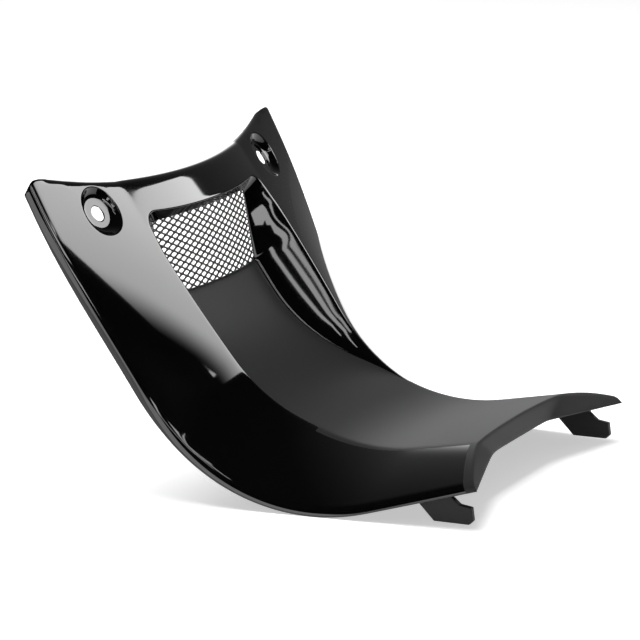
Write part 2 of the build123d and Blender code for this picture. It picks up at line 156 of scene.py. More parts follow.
def bisect(test, low, high, count):
    """The values between low and high, as many as count, where test changes from below 0 to above."""
    low, high = np.full(count, float(low)), np.full(count, float(high))
    for _ in range(40):
        mid = (low + high) / 2
        above = test(mid) > 0
        low, high = np.where(above, low, mid), np.where(above, mid, high)
    return (low + high) / 2


def bend(below, above, d, soft):
    """A straight with one slope below 0 and another above it, joined by a curve about soft wide."""
    return below * (d - np.hypot(d, soft)) / 2 + above * (d + np.hypot(d, soft)) / 2


# the tail is cut by an upright plane across the middle and a slanting one through each tip
LIP_HEIGHT, LIP_SET_BACK, LIP_LOW_X = 8.8, 0.8, 34.4
TAIL_CORNER, LIP_CORNER = 1.6, 5.0
LIP_TOP = np.array([TAIL_BREAK_X, BREAK_LINE["y"], BREAK_LINE["z"]])
LIP_LOW = np.array([LIP_LOW_X, LIP_TOP[1] - LIP_SET_BACK, LIP_TOP[2] - LIP_HEIGHT])
TIP = np.array([TAIL_EDGE_X, EDGE_LINE["y"], EDGE_LINE["z"]])
slant = np.cross(TIP - LIP_TOP, LIP_LOW - LIP_TOP)
slant = slant / np.linalg.norm(slant) * (1 if slant[1] > 0 else -1)
upright = np.array([0, LIP_HEIGHT, -LIP_SET_BACK]) / np.hypot(LIP_HEIGHT, LIP_SET_BACK)


def behind_tail(points):
    """The distance behind the tail's cut: the larger of those to the two planes, the corner eased."""
    a, b = (points - LIP_TOP) @ slant, (points - LIP_TOP) @ upright
    return b + bend(0, 1, a - b, TAIL_CORNER)


# the top edge's outline, from the end of the break line up the flange
line_length = (BREAK_LINE["tail"] + BREAK_LINE["end"]
               + BREAK_LINE["radius"] * radians(BREAK_LINE["down"] + BREAK_LINE["up"]))
end_y, end_z, end_slope = side_profile(BREAK_LINE, np.array(line_length))
TOP_MIDDLE = 221.8 - line_length
TOP_SIDE_CLEARANCE = 0.5
TOP_ARC_RISE, TOP_CORNER_RISE = 17.0, 18.0
TOP_STRAIGHT = 12.2
TOP_CORNER_RADIUS = 6.0
TOP_CORNER_X = TOP_EDGE_X + TOP_SIDE_CLEARANCE - TOP_CORNER_RADIUS
ROLL_LENGTH, ROLL_RADIUS = 4.3, 5.0
ROLL_FADE_START, ROLL_FADE_LENGTH = 106.0, 14.0


def past_top(points):
    """The distance past the top edge, up the flange: its outline is an arc, a straight and a round corner."""
    up = (points[..., 1] - end_y) * np.cos(end_slope) + (points[..., 2] - end_z) * np.sin(end_slope)
    x = np.abs(points[..., 0])
    arc_x = TOP_CORNER_X - TOP_STRAIGHT
    radius = (arc_x ** 2 + TOP_ARC_RISE ** 2) / (2 * TOP_ARC_RISE)
    arc = TOP_MIDDLE + radius - np.sqrt(radius ** 2 - np.minimum(x, arc_x) ** 2)
    straight = TOP_MIDDLE + TOP_ARC_RISE + (TOP_CORNER_RISE - TOP_ARC_RISE) * (x - arc_x) / TOP_STRAIGHT
    drop = np.sqrt(np.maximum(TOP_CORNER_RADIUS ** 2 - (x - TOP_CORNER_X) ** 2, 0)) - TOP_CORNER_RADIUS
    rounded = TOP_MIDDLE + TOP_CORNER_RISE + drop
    return up - np.where(x < arc_x, arc, np.where(x < TOP_CORNER_X, straight, rounded))


def roll_back(points):
    """The strip below the top edge curls back on a circle, and runs out flat towards the corners."""
    over = np.clip(ROLL_LENGTH + past_top(points), 0, ROLL_LENGTH)
    over = over * (1 - ease((np.abs(points[..., 0]) - ROLL_FADE_START) / ROLL_FADE_LENGTH))
    curl = ROLL_RADIUS - np.sqrt(ROLL_RADIUS ** 2 - over ** 2)
    return points + curl[..., None] * [0, sin(end_slope), -cos(end_slope)]


# the grid of a side wall: rows along the break line, closer at both ends, and lines out to the tip
wing_w = np.concatenate([[0, 0.03, 0.07], np.linspace(0.12, 0.88, 20), [0.93, 0.97, 1, 1.3, 1.6, 1.85, 2]])
wing_start = bisect(lambda s: behind_tail(wing_point(s, wing_w)), -19, 20, len(wing_w))
wing_end = bisect(lambda s: past_top(wing_point(s, wing_w)), 190, 251, len(wing_w))
stations = np.concatenate([wing_start[0] + np.array([0, 1.3, 3.4]), np.linspace(7.5, 75, 18), [SCOOP_START],
                           np.linspace(83, 195, 32), [CORNER_START],
                           np.linspace(CORNER_START, wing_end[0] - 4.6, 8)[1:],
                           wing_end[0] - np.array([3.5, 2.4, 1.2, 0])])
towards_tail = (1 - np.clip(stations / 70, 0, 1)) ** 2
towards_top = np.clip((stations - 150) / (wing_end[0] - 150), 0, 1) ** 1.5
wing_s = (stations[:, None] + (wing_start - wing_start[0]) * towards_tail[:, None]
          + (wing_end - wing_end[0]) * towards_top[:, None])
wing = wing_point(wing_s, wing_w[None] + 0 * wing_s)

sheet_points, sheet_faces, sheet_finish = [], [], []


def grid_quads(n, m):
    """The numbers of the four corners of every cell in a grid of n by m points."""
    index = np.arange(n * m).reshape(n, m)
    return np.stack([index[:-1, :-1], index[1:, :-1], index[1:, 1:], index[:-1, 1:]], -1)


def add_patch(points, facing, finish, keep=None):
    """A grid of points as quads of the sheet, turned to face the given way; finish is one number
    or one for each quad."""
    quads = sum(len(p) for p in sheet_points) + grid_quads(*points.shape[:2])
    normals = np.cross(points[1:, 1:] - points[:-1, :-1], points[:-1, 1:] - points[1:, :-1])
    if (normals @ np.array(facing)).sum() < 0:
        quads = quads[..., ::-1]
    finish = np.broadcast_to(finish, quads.shape[:2])
    keep = np.ones(quads.shape[:2], bool) if keep is None else keep
    sheet_points.append(points.reshape(-1, 3))
    sheet_faces.append(quads[keep])
    sheet_finish.append(finish[keep])


# The fixing recesses: dished seats for button-head screws, moulded into the flange's corners.
# Each is an arc falling to a flat floor with a clearance hole, set into the grid of the side wall.
SEAT_AT = np.array([85.9, 180.7, 125.65])
SEAT_TURN, SEAT_LIFT = radians(10.5), radians(33.0)
SEAT_DEPTH, SEAT_FLOOR_RADIUS, SEAT_RIM_RADIUS = 2.8, 7.3, 11.7
DISH_RADIUS, DISH_ANGLE = 4.86, radians(64.9)
SEAT_BLEND_RADIUS, SEAT_CUT_RADIUS = 12.7, 13.6
SCREW_HOLE_RADIUS = 3.7
seat_out = np.array([sin(SEAT_TURN) * cos(SEAT_LIFT), -cos(SEAT_TURN) * cos(SEAT_LIFT), sin(SEAT_LIFT)])
seat_across = np.cross([0, 0, 1], seat_out) / np.linalg.norm(np.cross([0, 0, 1], seat_out))
seat_up = np.cross(seat_out, seat_across)


def in_seat(points):
    """Coordinates across, up and out of the recess's own plane."""
    d = points - SEAT_AT
    return np.stack([d @ seat_across, d @ seat_up, d @ seat_out], -1)


# the block of the grid round the seat is left out, and its rim is the outer loop of the recess
seat = in_seat(wing)
by_seat = (np.hypot(seat[..., 0], seat[..., 1]) < SEAT_CUT_RADIUS) & (wing[..., 2] > 90)
seat_rows, seat_lines = np.where(by_seat)
i0, i1 = seat_rows.min() - 1, seat_rows.max() + 1
j0, j1 = seat_lines.min() - 1, seat_lines.max() + 1
left_out = np.zeros((len(stations) - 1, len(wing_w) - 1), bool)
left_out[i0:i1, j0:j1] = True
loop = ([(i, j0) for i in range(i0, i1)] + [(i1, j) for j in range(j0, j1)]
        + [(i, j1) for i in range(i1, i0, -1)] + [(i0, j) for j in range(j1, j0, -1)])
loop_i, loop_j = np.array(loop + loop[:1]).T
loop_s, loop_w = wing_s[loop_i, loop_j], wing_w[loop_j]
loop_turn = np.arctan2(seat[loop_i, loop_j, 1], seat[loop_i, loop_j, 0])
circle = np.stack([np.cos(loop_turn), np.sin(loop_turn)], -1)


def on_skin(radius, s, w):
    """Where the side wall passes the circle of this radius about the screw: Newton steps in s and w."""
    for _ in range(8):
        here = in_seat(wing_point(s, w))[:, :2]
        by_s = (in_seat(wing_point(s + 0.01, w))[:, :2] - here) / 0.01
        by_w = (in_seat(wing_point(s, w + 1e-4))[:, :2] - here) / 1e-4
        miss = radius * circle - here
        det = by_s[:, 0] * by_w[:, 1] - by_s[:, 1] * by_w[:, 0]
        s = s + (miss[:, 0] * by_w[:, 1] - miss[:, 1] * by_w[:, 0]) / det
        w = w + (by_s[:, 0] * miss[:, 1] - by_s[:, 1] * miss[:, 0]) / det
    return s, w


ring_s, ring_w = on_skin(SEAT_BLEND_RADIUS, loop_s, loop_w)
blend_share = np.array([0, 0.4, 0.75, 1])[:, None]
blend_rings = wing_point(loop_s + (ring_s - loop_s) * blend_share, loop_w + (ring_w - loop_w) * blend_share)
rim_height = in_seat(wing_point(*on_skin(SEAT_RIM_RADIUS, ring_s, ring_w)))[:, 2]
# the rings of the dish: the radius of each, its depth, and its share of the skin's height at the rim
dish_turn = DISH_ANGLE * np.array([0.78, 0.55, 0.3, 0.08])
dish_radius = SEAT_FLOOR_RADIUS + DISH_RADIUS * np.sin(dish_turn)
dish_share = (1 - np.cos(dish_turn)) / (1 - cos(DISH_ANGLE))
dish = np.array([(12.05, -0.06, 1), (11.65, -0.55, 1),
                 *zip(dish_radius, SEAT_DEPTH * (dish_share - 1), dish_share),
                 *[(radius, -SEAT_DEPTH, 0) for radius in (6.7, 5.4, 4.3, SCREW_HOLE_RADIUS)]])
spokes = circle[:, :1] * seat_across + circle[:, 1:] * seat_up
height = dish[:, 1:2] + dish[:, 2:] * rim_height
dish_rings = SEAT_AT + dish[:, :1, None] * spokes + height[..., None] * seat_out
recess = np.concatenate([blend_rings, dish_rings])

# the strip of the side wall next to the tail is matt, and so is the break line's rounding there
wing_finish = np.where(wing_s[:-1, :-1] - wing_start[None, :-1] < 3.0, MATT, GLOSS)
wing_finish[:np.count_nonzero(stations < SCOOP_START), :2] = MATT
add_patch(roll_back(wing), (0.4, -0.6, 0.6), wing_finish, ~left_out)
add_patch(roll_back(recess), seat_out, GLOSS)

# The tail's top: the matt face of the moulding between the break lines, from the cut of the tail
# to the start of the scoop, standing up slightly in the middle.
across = np.concatenate([[0], np.linspace(0.06, 0.9, 12), [0.97, 1]])


def tail_point(s, share):
    """A point of the skin at a share of the way from the middle to the break line."""
    x = at(table_c, s) * share
    return place(s, x, skin_depth(s, x))


tail_rows = stations[stations <= SCOOP_START]
tail_cut = bisect(lambda s: behind_tail(tail_point(s, across)), -19, 20, len(across))
tail_s = tail_rows[:, None] + (tail_cut - tail_cut[-1]) * ((1 - np.clip(tail_rows / 40, 0, 1)) ** 2)[:, None]
tail_s[:, -1] = wing_s[:len(tail_rows), 0]
tail_top = tail_point(tail_s, across)
tail_top[:, -1] = wing[:len(tail_rows), 0]
add_patch(tail_top, (0, 0, 1), MATT)

# The scoop: a floor that leaves the tail level and dives behind the flange, ruled side walls from
# the break line down to it, and a ceiling from the window's top edge to the top of the mesh.
GRILLE_TOP_Y, GRILLE_TOP_Z, GRILLE_LEAN = 171.15, 114.7, radians(10.4)
GRILLE_RADIUS = 340.0
FLOOR_ENTRY_SLOPE, FLOOR_END_SLOPE = radians(19.2), radians(54.0)
FLOOR_DEPTH, FLOOR_RADIUS, FLOOR_BOW = 18.6, 93.0, 2.1
FLOOR_END = 172.9
SIDE_DRAFT = 0.81
CEILING_SIDE_X, CEILING_SIDE_SLOPE = 54.0, radians(66)
WINDOW_CORNER_RADIUS = 8.0


def grille_y(x, z):
    """The sheet leans back and is curved across on its radius."""
    return GRILLE_TOP_Y - (GRILLE_TOP_Z - z) * tan(GRILLE_LEAN) + x ** 2 / (2 * GRILLE_RADIUS)


# the floor's side profile: a straight off the tail, an arc, and a straight parallel to the flange
start_y, start_z, _ = side_profile(BREAK_LINE, np.array(SCOOP_START))
floor_start = np.array([start_y, start_z])
floor_end = np.array([end_y + FLOOR_DEPTH * sin(FLOOR_END_SLOPE), end_z - FLOOR_DEPTH * cos(FLOOR_END_SLOPE)])
entry_way = np.array([cos(FLOOR_ENTRY_SLOPE), sin(FLOOR_ENTRY_SLOPE)])
end_way = np.array([cos(FLOOR_END_SLOPE), sin(FLOOR_END_SLOPE)])
to_end = floor_end - floor_start
along_entry = ((to_end[0] * end_way[1] - to_end[1] * end_way[0])
               / (entry_way[0] * end_way[1] - entry_way[1] * end_way[0]))
straights_meet = floor_start + along_entry * entry_way
tangent = FLOOR_RADIUS * tan((FLOOR_END_SLOPE - FLOOR_ENTRY_SLOPE) / 2)
arc_start, arc_end = straights_meet - tangent * entry_way, straights_meet + tangent * end_way
arc_slope = np.linspace(FLOOR_ENTRY_SLOPE, FLOOR_END_SLOPE, 60)
arc_y = arc_start[0] + FLOOR_RADIUS * (np.sin(arc_slope) - entry_way[1])
arc_z = arc_start[1] - FLOOR_RADIUS * (np.cos(arc_slope) - entry_way[0])
run = np.linspace(0, 1, 60)[:, None]
floor_y, floor_z = np.concatenate([floor_start + (arc_start - floor_start) * run[:-1],
                                   np.stack([arc_y, arc_z], -1),
                                   arc_end + (floor_end - arc_end) * run[1:]]).T


def past_floor(s):
    """How far the sections at s lie past the points of the floor's profile, along the break line."""
    slope = at(table_slope, s)
    return (at(table_y, s) - floor_y) * np.cos(slope) + (at(table_z, s) - floor_z) * np.sin(slope)


floor_s = bisect(past_floor, 60, 251, len(floor_y))
floor_q = np.hypot(floor_y - at(table_y, floor_s), floor_z - at(table_z, floor_s))


def floor_half_width(s):
    """The break line's half width less the side wall's draft, and 0.6 mm more by the mesh."""
    t = (s - SCOOP_START) / (FLOOR_END - SCOOP_START)
    return at(table_c, s) - SIDE_DRAFT * np.interp(s, floor_s, floor_q) - 0.6 * t * t


def floor_point(s, share):
    """share runs from 0 in the middle to 1 at the side wall; the floor stands forward in the middle."""
    t = (s - SCOOP_START) / (FLOOR_END - SCOOP_START)
    bow = 0.2 + FLOOR_BOW * np.clip(t, 0, 1)
    return place(s, share * floor_half_width(s), np.interp(s, floor_s, floor_q) - bow * (1 - share ** 2))


def past_grille(s):
    """How far behind the mesh the floor's lines have come at s."""
    point = floor_point(s, across)
    return point[:, 1] - grille_y(point[:, 0], point[:, 2])


lower = np.flatnonzero((stations >= SCOOP_START) & (stations < FLOOR_END))
lower_s = stations[lower]
floor_stop = bisect(past_grille, 150, 190, len(across))
towards_grille = ((lower_s - SCOOP_START) / (lower_s[-1] - SCOOP_START)) ** 4
floor_grid_s = lower_s[:, None] + (floor_stop - lower_s[-1]) * towards_grille[:, None]
floor = floor_point(floor_grid_s, across[None] + 0 * floor_grid_s)
floor[0] = tail_top[-1]
add_patch(floor, (0, -0.6, 0.8), MATT)


def window_top(x):
    """Where the ceiling comes out of the skin: it slopes 45 degrees in the middle, 66 at the sides."""
    def past(s):
        p = place(s, x, skin_depth(s, x))
        climb = p[:, 2] - GRILLE_TOP_Z
        middle = GRILLE_TOP_Y - climb
        side = GRILLE_TOP_Y + CEILING_SIDE_X ** 2 / (2 * GRILLE_RADIUS) - climb / tan(CEILING_SIDE_SLOPE)
        return p[:, 1] - (middle + (side - middle) * (x / CEILING_SIDE_X) ** 2)
    return bisect(past, 190, 225, len(x))


# the window's rim: up the break line, round the corner and along the top to the middle
upper = np.flatnonzero((stations >= FLOOR_END) & (stations <= CORNER_START))
corner_x = at(table_c, CORNER_START) - WINDOW_SET_IN
corner_turn = np.radians([22.5, 45, 67.5])
top_x = np.concatenate([[corner_x - WINDOW_CORNER_RADIUS], np.linspace(corner_x - 11, 0, 14)])
top_s = window_top(top_x)
around_x = np.concatenate([corner_x - WINDOW_CORNER_RADIUS * (1 - np.cos(corner_turn)), top_x])
around_s = np.concatenate([CORNER_START + (top_s[0] - CORNER_START) * np.sin(corner_turn), top_s])
around = place(around_s, around_x, skin_depth(around_s, around_x))
window_rim = np.concatenate([wing[lower[0]:upper[-1] + 1, 0], around])

# the walls' foot: along the floor's side, up the mesh's side and along its top
up_side = (stations[upper] - FLOOR_END) / (CORNER_START - FLOOR_END) * 0.86 + 0.02
floor_corner_z = floor[-1, -1, 2]
foot_x = np.concatenate([46.0 + 1.7 * up_side, [47.6, 47.2, 45.6], top_x * 44.0 / top_x[0]])
foot_z = np.concatenate([floor_corner_z + (GRILLE_TOP_Z - floor_corner_z) * up_side,
                         GRILLE_TOP_Z + np.array([-1.9, -0.5, 0]), np.full(len(top_x), GRILLE_TOP_Z)])
grille_foot = np.stack([foot_x, grille_y(foot_x, foot_z), foot_z], -1)
wall_foot = np.concatenate([floor[:, -1], grille_foot])
inward = np.array([0, 0.05, 0.12, 0.22, 0.33, 0.45, 0.57, 0.69, 0.81, 0.92, 1])[:, None, None]
walls = window_rim[None] * (1 - inward) + wall_foot[None] * inward
# the side walls bulge very slightly into the scoop
side_s = stations[lower[0]:upper[-1] + 1]
bulge = 0.6 * ease((side_s - SCOOP_START) / 30) * ease((CORNER_START - side_s) / 12)
walls[:, :len(side_s), 0] -= bulge * np.sin(np.pi * inward[..., 0])
add_patch(walls, (-0.8, -0.5, 0), GLOSS)

# The flange above the window: the polished band between the two side walls, from the window's top
# and its round corners up to the rolled top edge.
flange_rows = np.flatnonzero(stations >= CORNER_START)
climb = (stations[flange_rows] - CORNER_START) / (stations[-1] - CORNER_START)
edge_x = np.concatenate([corner_x - np.array([2.75, 5.5, 8.25, 9.625]), top_x[1:]])
flange_edge_s = bisect(lambda s: past_top(place(s, edge_x, skin_depth(s, edge_x))), 190, 251, len(edge_x))
flange_x = around_x + (edge_x - around_x) * climb[:, None]
flange_s = around_s + (flange_edge_s - around_s) * climb[:, None]
flange = place(flange_s, flange_x, skin_depth(flange_s, flange_x))
flange = np.concatenate([wing[flange_rows, :1], flange], 1)
add_patch(roll_back(flange), (0, -0.8, 0.6), GLOSS)

# The lip: the tail's edge turned down in matt black, upright across the middle and slanting back
# to each tip, where it runs out to nothing. Its lower line bends where the slant begins.
lip_edge = np.concatenate([tail_top[0], wing[0, 1:]])
along_lip = lip_edge[:, :1] - LIP_TOP[0]
middle_way = np.array([LIP_LOW[0] / LIP_TOP[0], 0, 0])
slant_way = (TIP - LIP_LOW) / (TIP[0] - LIP_TOP[0])
lip_bottom = LIP_LOW + bend(middle_way, slant_way, along_lip, LIP_CORNER)
lip_bottom[0, 0] = 0
lip_bottom[-1] = lip_edge[-1]
lip_down = np.array([0, 0.14, 0.4, 0.7, 0.88, 1])[:, None, None]
lip = lip_edge[None] * (1 - lip_down) + lip_bottom[None] * lip_down
add_patch(lip, (0, -1, 0), MATT)

# The whole skin: the patches of one side and their mirror image are welded into one sheet, which
# gets the wall's thickness behind it, the small radii of the mould, its gloss and matt finishes, and an
# unpolished inside darkened as painted shade.


def weld(points, faces, finish, tolerance=1e-3):
    """Points that share a place become one, and faces that lose a corner become triangles."""
    _, first, same = np.unique(np.round(points / tolerance).astype(np.int64), axis=0,
                               return_index=True, return_inverse=True)
    faces = same.reshape(-1)[faces]
    corners = [list(dict.fromkeys(face)) for face in faces.tolist()]
    kept = [i for i, c in enumerate(corners) if len(c) > 2]
    return points[first], [corners[i] for i in kept], finish[kept]


def make_mesh(name, points, faces, materials, finish=0):
    """A smooth-shaded mesh object from points in millimetres."""
    mesh = bpy.data.meshes.new(name)
    mesh.from_pydata((points * MM).tolist(), [], faces)
    for material in materials:
        mesh.materials.append(material)
    mesh.polygons.foreach_set("material_index", np.broadcast_to(finish, len(mesh.polygons)).astype(np.int32))
    mesh.polygons.foreach_set("use_smooth", np.ones(len(mesh.polygons), bool))
    mesh.validate()
    piece = bpy.data.objects.new(name, mesh)
    bpy.context.collection.objects.link(piece)
    return piece


def plain_material(name, colour, roughness, specular=0.5):
    """One colour and one roughness all over."""
    material = bpy.data.materials.new(name)
    material.use_nodes = True
    shader = material.node_tree.nodes["Principled BSDF"]
    shader.inputs["Base Color"].default_value = (*colour, 1)
    shader.inputs["Roughness"].default_value = roughness
    shader.inputs["Specular IOR Level"].default_value = specular
    return material


gloss_black = plain_material("gloss black moulding", (0.002, 0.002, 0.0022), 0.045)
matt_black = plain_material("matt black moulding", (0.018, 0.018, 0.019), 0.5, 0.17)
# the inside faces and the hook tabs: unpolished, and darker than the matt face as painted shade for the
# underside and the far tab
unpolished_shaded_black = plain_material("unpolished inside with painted shade", (0.007, 0.007, 0.007), 0.5, 0.25)

half_points, half_faces = np.concatenate(sheet_points), np.concatenate(sheet_faces)
half_finish = np.concatenate(sheet_finish)
skin_points, skin_faces, skin_finish = weld(
    np.concatenate([half_points, half_points * [-1, 1, 1]]),
    np.concatenate([half_faces, half_faces[:, ::-1] + len(half_points)]),
    np.concatenate([half_finish, half_finish]))
cover = make_mesh("cover_skin", skin_points, skin_faces, [gloss_black, matt_black, unpolished_shaded_black], skin_finish)
thick = cover.modifiers.new("wall", "SOLIDIFY")
thick.thickness = WALL * MM
thick.offset = -1
thick.use_even_offset = True
thick.thickness_clamp = 1.2
# the inside faces take the unpolished black, darkened as painted shade
thick.material_offset = INSIDE
smooth = cover.modifiers.new("mould radii", "SUBSURF")
smooth.levels = smooth.render_levels = 1
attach(cover, "root")
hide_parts("cover_shell")

# The hook tabs: a flat plate under each side wall of the tail, part of the same moulding. The toe
# at the front and the slanting heel catch behind the bodywork when the cover is pushed home.
HOOK_X, HOOK_THICKNESS, HOOK_SUNK = 86.5, 3.0, 1.5
HOOK_NECK, HOOK_HEEL = (8.6, 12.0), (26.0, 9.5)
HOOK_FOOT = [(16.7, 0), (0, 0), (-1.9, 1.9), (-1.1, 7.8), (4.5, 8.6)]
HOOK_EDGE = 0.45
under_s = np.linspace(-15, 40, 221)
under = place(under_s, HOOK_X + 0 * under_s, skin_depth(under_s, HOOK_X + 0 * under_s))
hook_top_y = np.linspace(HOOK_NECK[0], HOOK_HEEL[0], 6)
hook_top_z = np.interp(hook_top_y, under[:, 1], under[:, 2]) - HOOK_SUNK
hook_side = np.array([HOOK_HEEL, *HOOK_FOOT, HOOK_NECK, *zip(hook_top_y, hook_top_z)])
hook_corners = len(hook_side)
hook_points, hook_faces = [], []
for side in (1, -1):
    for face in (1, -1):
        x = side * (HOOK_X + face * HOOK_THICKNESS / 2)
        hook_points.append(np.column_stack([np.full(hook_corners, x), hook_side]))
for start, turned in ((0, 1), (2 * hook_corners, -1)):
    ring = list(range(start, start + hook_corners))
    hook_faces.append(ring[::-turned])
    hook_faces.append([i + hook_corners for i in ring][::turned])
    for i, j in zip(ring, ring[1:] + ring[:1]):
        hook_faces.append([i, j, j + hook_corners, i + hook_corners][::turned])
# the tabs take the unpolished black of the inside, darkened as painted shade
hooks = make_mesh("hook_tabs", np.concatenate(hook_points), hook_faces, [unpolished_shaded_black])
rounded = hooks.modifiers.new("rounded edges", "BEVEL")
rounded.width = HOOK_EDGE * MM
rounded.segments = 3
rounded.harden_normals = True
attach(hooks, "root")

# The mesh: expanded metal behind the end of the scoop, bonded to the ends of its walls. Each cell is
# a rhombus with a rounded hole; half-offset rows share their strands, which are tilted as pressed.
CELL_WIDE, CELL_HIGH = 7.7, 3.3
HOLE_WIDE, HOLE_HIGH = 4.9, 2.1
CELL_ROWS, FIRST_ROW_DOWN, WIDEST_CELL = 23, -0.75, 6.1
STRAND_TILT, STRAND_THICKNESS, SHEET_MIDDLE = 0.22, 0.7, 0.6
# the hole's outline: a quarter turn per side of the rhombus, with powers of sine and cosine that
# draw its corners out towards those of the cell
step = np.arange(12)
hole_turn = np.radians(step * 30)
hole_x = HOLE_WIDE / 2 * np.sign(np.cos(hole_turn)) * np.abs(np.cos(hole_turn)) ** 1.5
hole_up = HOLE_HIGH / 2 * np.sign(np.sin(hole_turn)) * np.abs(np.sin(hole_turn)) ** 1.5
third = (step % 3 / 3)[:, None]
cell_corners = np.array([(1, 0), (0, 1), (-1, 0), (0, -1), (1, 0)])
cell_edge = (cell_corners[step // 3] * (1 - third) + cell_corners[step // 3 + 1] * third
             ) * [CELL_WIDE / 2, CELL_HIGH / 2]
row, column = np.meshgrid(np.arange(CELL_ROWS), np.arange(-6, 7), indexing="ij")
cell_x = (column + row % 2 * 0.5) * CELL_WIDE
cell_down = FIRST_ROW_DOWN + row * CELL_HIGH / 2
whole = np.abs(cell_x) < WIDEST_CELL * CELL_WIDE
cell_x, cell_down = cell_x[whole][:, None], cell_down[whole][:, None]
outer = np.stack([cell_x + cell_edge[:, 0], cell_down - cell_edge[:, 1], 0 * cell_x + 0 * hole_up], -1)
inner = np.stack([cell_x + hole_x, cell_down - hole_up,
                  0 * cell_x - STRAND_TILT * hole_up / (HOLE_HIGH / 2)], -1)
strand = np.stack([outer, inner], 1).reshape(-1, 3)
strand_z = GRILLE_TOP_Z - strand[:, 1] * cos(GRILLE_LEAN)
back_y, back_z = (SHEET_MIDDLE + strand[:, 2]) * np.array([[cos(GRILLE_LEAN)], [-sin(GRILLE_LEAN)]])
strand_points = np.column_stack([strand[:, 0], grille_y(strand[:, 0], strand_z) + back_y, strand_z + back_z])
cell_quads = np.stack([step, (step + 1) % 12, (step + 1) % 12 + 12, step + 12], -1)
strand_faces = (cell_quads[None] + 24 * np.arange(len(cell_x))[:, None, None]).reshape(-1, 4)
strand_points, strand_faces, _ = weld(strand_points, strand_faces, np.zeros(len(strand_faces), int))
mesh_black = plain_material("painted expanded metal", (0.012, 0.012, 0.012), 0.42)
mesh_piece = make_mesh("grille_mesh", strand_points, strand_faces, [mesh_black])
sheet = mesh_piece.modifiers.new("sheet", "SOLIDIFY")
sheet.thickness = STRAND_THICKNESS * MM
sheet.offset = 0
rolled = mesh_piece.modifiers.new("rounded strands", "SUBSURF")
rolled.levels = rolled.render_levels = 1
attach(mesh_piece, "root")
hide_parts("mesh_grille")

# The stage: a white floor that the cover's belly rests on and a white world, as the camera, the gloss
# and glass see them. Other rays find both at a plain level, and the floor keeps the cover's shadow.
# Angles on the stage go round from the tail's side of the cover, positive to its right.
STAGE_CENTRE = np.array([0, 0.09, 0.06])
FLOOR_Z, FLOOR_REACH = -0.0017, 4.0
FLOOR_WHITE, FLOOR_GLOW = 0.85, 0.5
WORLD_LIGHT = 0.25


def stage_mesh(name, points, faces, material, uv=None):
    """An object of the stage from points in metres, with one map of uv for its corners if given."""
    mesh = bpy.data.meshes.new(name)
    mesh.from_pydata(np.asarray(points, float).tolist(), [], faces)
    mesh.materials.append(material)
    if uv is not None:
        mesh.uv_layers.new(name="across").data.foreach_set("uv", np.asarray(uv, float).ravel())
    thing = bpy.data.objects.new(name, mesh)
    bpy.context.collection.objects.link(thing)
    return thing


def node_material(name):
    """An empty material, with its nodes, its link function and its output."""
    material = bpy.data.materials.new(name)
    material.use_nodes = True
    material.node_tree.nodes.clear()
    nodes, link = material.node_tree.nodes, material.node_tree.links.new
    return material, nodes, link, nodes.new("ShaderNodeOutputMaterial")


def maths(nodes, link, operation, first, second, third=None):
    """One Math node; each input is another node's output or a number."""
    node = nodes.new("ShaderNodeMath")
    node.operation = operation
    for socket, value in zip(node.inputs, (first, second, third)):
        if isinstance(value, (int, float)):
            socket.default_value = value
        elif value is not None:
            link(value, socket)
    return node.outputs[0]


def seen_directly(nodes, link):
    """A value of 1 for rays from the camera, in a mirror or through glass, and 0 for diffuse light."""
    path = nodes.new("ShaderNodeLightPath").outputs
    camera_or_glossy = maths(nodes, link, "MAXIMUM", path["Is Camera Ray"], path["Is Glossy Ray"])
    return maths(nodes, link, "MAXIMUM", camera_or_glossy, path["Is Transmission Ray"])


floor_material, nodes, link, output = node_material("white floor")
lit = nodes.new("ShaderNodeBsdfDiffuse")
lit.inputs["Color"].default_value = (FLOOR_WHITE, FLOOR_WHITE, FLOOR_WHITE, 1)
glow = nodes.new("ShaderNodeEmission")
glow.inputs["Strength"].default_value = FLOOR_GLOW
lit_and_glow = nodes.new("ShaderNodeAddShader")
link(lit.outputs[0], lit_and_glow.inputs[0])
link(glow.outputs[0], lit_and_glow.inputs[1])
choose = nodes.new("ShaderNodeMixShader")
link(seen_directly(nodes, link), choose.inputs[0])
link(lit.outputs[0], choose.inputs[1])
link(lit_and_glow.outputs[0], choose.inputs[2])
link(choose.outputs[0], output.inputs["Surface"])
floor_corners = [(x * FLOOR_REACH, y * FLOOR_REACH, FLOOR_Z) for x, y in ((-1, -1), (1, -1), (1, 1), (-1, 1))]
stage_mesh("floor", floor_corners, [(0, 1, 2, 3)], floor_material)

world = bpy.data.worlds.new("studio")
bpy.context.scene.world = world
world.use_nodes = True
nodes, link = world.node_tree.nodes, world.node_tree.links.new
strength = maths(nodes, link, "MULTIPLY_ADD", seen_directly(nodes, link), 1 - WORLD_LIGHT, WORLD_LIGHT)
nodes["Background"].inputs["Color"].default_value = (1, 1, 1, 1)
link(strength, nodes["Background"].inputs["Strength"])

# The dark studio: a dome of black cards that only the gloss shows, paling towards the white that
# lies behind the cover. A low screen of the same cards keeps the white floor out of the far side
# wall, and a flag keeps the strip light out of the near one.
DOME_RADIUS = 3.4
SCREEN_RADIUS, SCREEN_TOP = 0.8, 0.16
FLAG_X, FLAG_Y, FLAG_TOP = (-0.145, -0.02), -0.03, 0.2
PALE_TURN, PALE_LIFT = 114.0, 14.0
PALE_START = 0.4
PALE_LEVELS = ((1.5, 0.2), (60.0, 4.6))


def towards(turn, lift):
    """The direction at so many degrees round from the tail's side and up from level."""
    turn, lift = np.radians(turn), np.radians(lift)
    return np.stack([np.sin(turn) * np.cos(lift), -np.cos(turn) * np.cos(lift), np.sin(lift) + 0 * turn], -1)


def only_glossy(thing):
    """The thing shows in the gloss, and neither the camera nor any other light meets it."""
    thing.visible_camera = thing.visible_transmission = thing.visible_shadow = False
    thing.visible_diffuse = False


